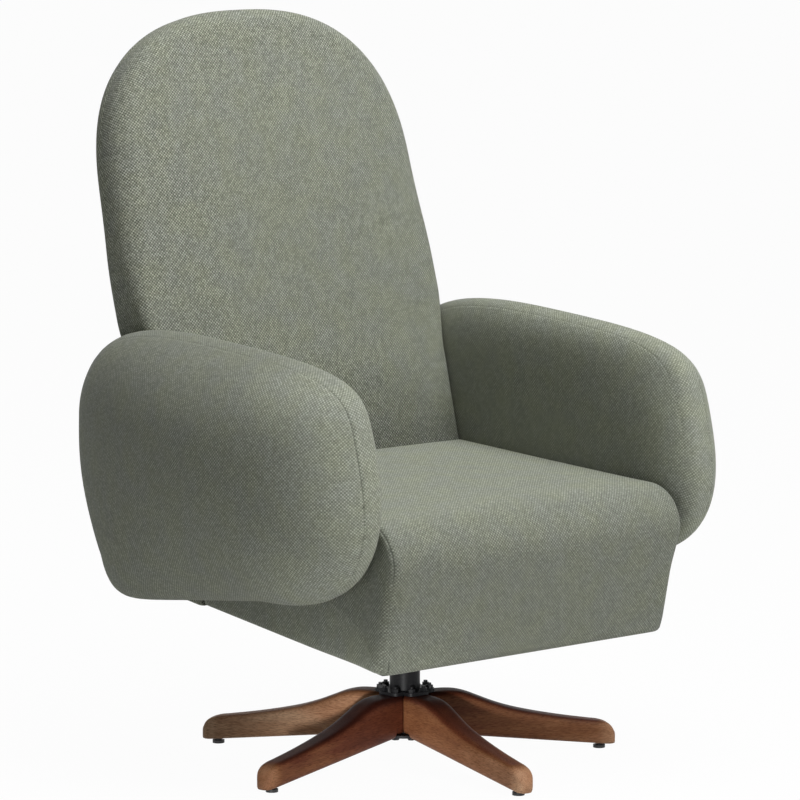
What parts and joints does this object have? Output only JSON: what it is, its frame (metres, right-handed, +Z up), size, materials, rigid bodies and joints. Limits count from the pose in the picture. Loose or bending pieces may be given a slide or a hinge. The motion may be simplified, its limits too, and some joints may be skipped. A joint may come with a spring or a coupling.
{
  "type": "swivel rocking armchair",
  "caption": "Upholstered swivel rocking armchair: a padded seat between pebble-shaped arms and a tall arched back rocks and turns on a star base of stained wooden legs.",
  "frame": {"origin": "on the floor, where the swivel axis meets it", "axes": "+Z up along the swivel axis, -Y towards the chair's front at rest, +X to the right as seen from the front"},
  "size_m": [0.869, 0.752, 1.0886],
  "materials": {
    "fabric_sage": "matte",
    "walnut": "satin",
    "hub_black": "satin",
    "steel": "satin",
    "glide_plastic": "matte",
    "nylon": "matte",
    "rubber_stop": "matte",
    "beech": "matte",
    "felt": "matte",
    "webbing": "matte",
    "cover_cloth": "matte"
  },
  "bodies": {
    "base": {"leg_1": "walnut", "leg_2": "walnut", "leg_3": "walnut", "leg_4": "walnut", "leg_5": "walnut", "leg_glides": "glide_plastic", "clamp_plate": "hub_black", "hub_flange": "hub_black", "hub_bolts": "hub_black", "hub_nuts": "hub_black", "column_tube": "hub_black", "lower_bush": "nylon", "upper_bush": "nylon", "thrust_washer": "steel"},
    "swivel": {"spindle": "steel", "spindle_clip": "steel", "pivot_bracket": "hub_black", "rock_axle": "steel", "axle_clips": "steel", "front_bump_stops": "rubber_stop", "rear_bump_stops": "rubber_stop", "front_rock_springs": "steel", "rear_rock_springs": "steel"},
    "rocker": {"rock_plate": "hub_black", "rock_bushes": "nylon", "plate_screws": "steel", "front_rail": "beech", "rear_rail": "beech", "left_side_rail": "beech", "right_side_rail": "beech", "front_cross_rail": "beech", "rear_cross_rail": "beech", "corner_blocks": "beech", "seat_springs": "steel", "spring_clips": "nylon", "seat_pad": "felt", "seat_cushion": "fabric_sage", "dust_cover": "cover_cloth", "left_back_post": "beech", "right_back_post": "beech", "back_arch": "beech", "back_lumbar_rail": "beech", "back_foot_rail": "beech", "back_webbing": "webbing", "back_cushion": "fabric_sage", "back_panel": "fabric_sage", "back_bolts": "steel", "left_arm_panel": "beech", "right_arm_panel": "beech", "left_arm_pad": "fabric_sage", "right_arm_pad": "fabric_sage", "arm_bolts": "steel", "arm_tee_nuts": "steel"}
  },
  "joints": [
    {"name": "swivel", "type": "hinge", "parent": "base", "child": "swivel", "pos_m": [0, 0, 0], "axis": [0, 0, 1], "continuous": true},
    {"name": "rock", "type": "hinge", "parent": "swivel", "child": "rocker", "pos_m": [0, 0, 0.272], "axis": [1, 0, 0], "range_deg": [-12, 6], "stiffness_Nm_per_rad": 360, "springref_deg": 2.01, "deforming": ["front_rock_springs", "rear_rock_springs"]}
  ]
}
